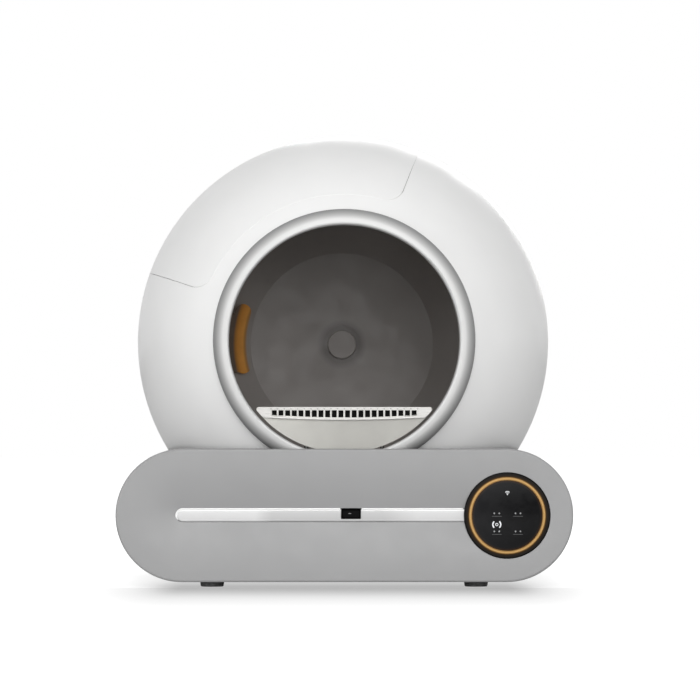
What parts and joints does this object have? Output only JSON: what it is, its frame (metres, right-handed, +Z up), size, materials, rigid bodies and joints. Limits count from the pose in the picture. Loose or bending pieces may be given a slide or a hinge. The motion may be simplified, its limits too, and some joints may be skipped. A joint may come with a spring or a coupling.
{
  "type": "self cleaning litter box",
  "caption": "Globe-shaped self-cleaning litter box: a motor-turned white drum with a ringed entry and a slide-out waste cassette, in a pill-shaped grey base with a round touch panel.",
  "frame": {"origin": "on the floor under the middle of the base, at the bottom of the feet", "axes": "+X to the right as seen from the front, +Y to the back, +Z up"},
  "size_m": [0.54, 0.529, 0.545],
  "materials": {
    "drum_white": "satin white",
    "liner_dark": "matt warm grey",
    "ring_silver": "satin",
    "fence_metal": "satin champagne",
    "slot_black": "matt black",
    "screen_orange": "satin orange",
    "bin_dark": "matt dark grey",
    "gear_plastic": "natural",
    "base_grey": "satin grey",
    "strip_white": "high gloss",
    "window_black": "high gloss",
    "rim_black": "high gloss",
    "light_gold": "satin gold",
    "panel_glass": "black glass",
    "board_green": "green board",
    "housing_dark": "matt black",
    "mount_grey": "matt grey",
    "roller_rubber": "matt",
    "steel": "satin",
    "cell_metal": "milled",
    "foot_rubber": "matt"
  },
  "bodies": {
    "base": {"base_upper_shell": "base_grey", "base_lower_shell": "base_grey", "front_fascia": "base_grey", "light_strip": "strip_white", "sensor_window": "window_black", "panel_bezel": "rim_black", "panel_light_ring": "light_gold", "panel_glass": "panel_glass", "touch_board": "board_green", "panel_housing": "housing_dark", "main_board": "board_green", "load_cells": "cell_metal", "rubber_feet": "foot_rubber", "rear_cover": "base_grey", "power_inlet": "housing_dark", "base_screws": "steel", "gearbox_housing": "housing_dark", "drive_motor": "steel", "roller_axles": "steel", "front_left_roller_mount": "mount_grey", "front_right_roller_mount": "mount_grey", "rear_left_roller_mount": "mount_grey", "rear_right_roller_mount": "mount_grey"},
    "drum": {"drum_front_shell": "drum_white", "drum_rear_shell": "drum_white", "drum_liner": "liner_dark", "entry_ring": "ring_silver", "hub_cap": "liner_dark", "drum_screen": "screen_orange", "cassette_bay": "liner_dark", "ring_gear": "gear_plastic", "drum_rear_cap": "drum_white", "drum_screws": "steel"},
    "cassette": {"cassette_panel": "drum_white", "cassette_bin": "bin_dark", "flap_pin": "steel"},
    "flap": {"bin_flap": "bin_dark"},
    "latch": {"latch_button": "bin_dark"},
    "fence": {"litter_fence": "fence_metal", "fence_grille": "slot_black"},
    "pinion": {"drive_pinion": "gear_plastic"},
    "front_left_roller": {"front_left_roller": "roller_rubber"},
    "front_right_roller": {"front_right_roller": "roller_rubber"},
    "rear_left_roller": {"rear_left_roller": "roller_rubber"},
    "rear_right_roller": {"rear_right_roller": "roller_rubber"}
  },
  "joints": [
    {"name": "drum_turn", "type": "hinge", "parent": "base", "child": "drum", "pos_m": [0, -0.00955, 0.293], "axis": [0, -1, 0], "range_deg": [-30, 200]},
    {"name": "cassette_slide", "type": "slide", "parent": "drum", "child": "cassette", "axis": [0.4135, 0, -0.9105], "range_m": [-0.2, 0]},
    {"name": "flap_hinge", "type": "hinge", "parent": "cassette", "child": "flap", "pos_m": [-0.12319, -0.0255, 0.4119], "axis": [0, 1, 0], "range_deg": [0, 45]},
    {"name": "latch_press", "type": "slide", "parent": "cassette", "child": "latch", "axis": [0.4135, 0, -0.9105], "range_m": [0, 0.003], "stiffness_N_per_m": 300, "springref_m": -0.002},
    {"name": "fence_lift", "type": "slide", "parent": "drum", "child": "fence", "axis": [0, 0, 1], "range_m": [0, 0.1]},
    {"name": "pinion_spin", "type": "hinge", "parent": "base", "child": "pinion", "pos_m": [0, 0.21946, 0.128], "axis": [0, -1, 0], "continuous": true},
    {"name": "front_left_roller_spin", "type": "hinge", "parent": "base", "child": "front_left_roller", "pos_m": [-0.07113, -0.21246, 0.14047], "axis": [0, -1, 0], "continuous": true},
    {"name": "front_right_roller_spin", "type": "hinge", "parent": "base", "child": "front_right_roller", "pos_m": [0.07113, -0.21246, 0.14047], "axis": [0, -1, 0], "continuous": true},
    {"name": "rear_left_roller_spin", "type": "hinge", "parent": "base", "child": "rear_left_roller", "pos_m": [-0.06079, 0.20071, 0.14253], "axis": [0, -1, 0], "continuous": true},
    {"name": "rear_right_roller_spin", "type": "hinge", "parent": "base", "child": "rear_right_roller", "pos_m": [0.06079, 0.20071, 0.14253], "axis": [0, -1, 0], "continuous": true}
  ],
  "couplings": [
    {"joint": "pinion_spin", "follows": "drum_turn", "ratio": -6.3333},
    {"joint": "front_left_roller_spin", "follows": "drum_turn", "ratio": -13},
    {"joint": "front_right_roller_spin", "follows": "drum_turn", "ratio": -13},
    {"joint": "rear_left_roller_spin", "follows": "drum_turn", "ratio": -12.499},
    {"joint": "rear_right_roller_spin", "follows": "drum_turn", "ratio": -12.499}
  ]
}
